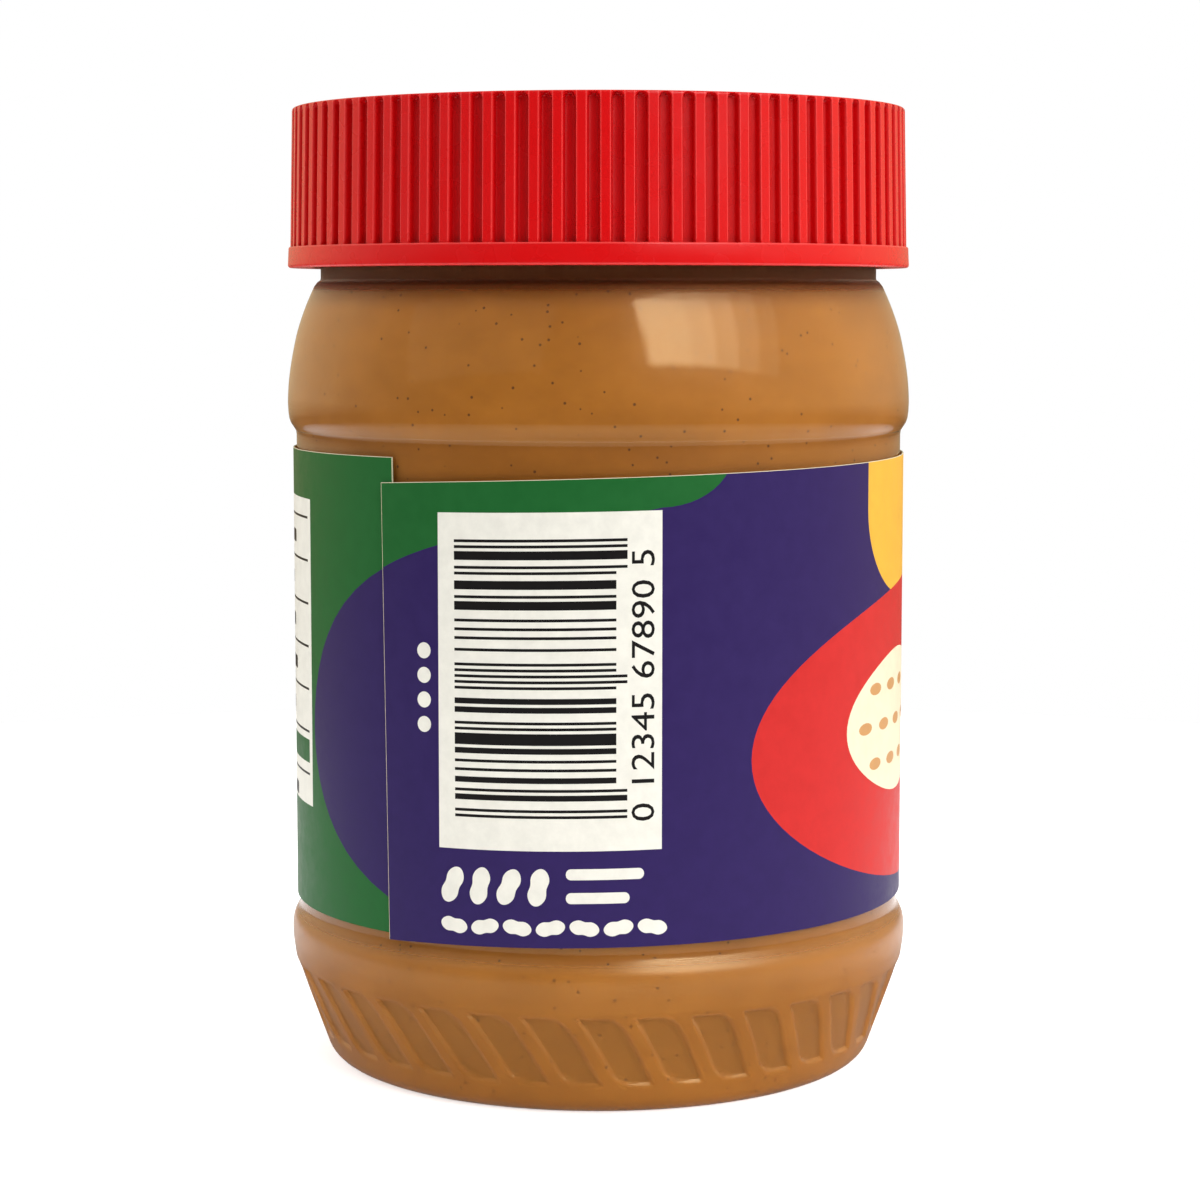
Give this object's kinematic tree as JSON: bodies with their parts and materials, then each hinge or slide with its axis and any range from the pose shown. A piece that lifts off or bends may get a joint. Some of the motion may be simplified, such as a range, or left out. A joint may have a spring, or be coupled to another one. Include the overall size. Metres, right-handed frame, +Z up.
{
  "type": "peanut butter jar",
  "caption": "Shut round plastic jar of peanut butter with a ribbed screw cap, a bulging shoulder, a wrapped paper label and a tapered heel with slanted ribs.",
  "frame": {"origin": "centre of the standing ring, on the surface the jar stands on", "axes": "+Z up along the jar's axis; -Y is the side the picture shows, with the label's seam to its left"},
  "size_m": [0.0784, 0.0784, 0.1197],
  "materials": {
    "clear_plastic": "clear blow-moulded plastic, smooth and glossy",
    "peanut_butter": "smooth tan brown paste with faint dark specks",
    "label_print": "coated paper printed in dark blue, green, red, yellow and white fields",
    "red_plastic": "moulded red plastic, satin gloss"
  },
  "bodies": {
    "root": {"jar": "clear_plastic", "peanut_butter": "peanut_butter", "label": "label_print", "cap": "red_plastic"}
  },
  "joints": []
}
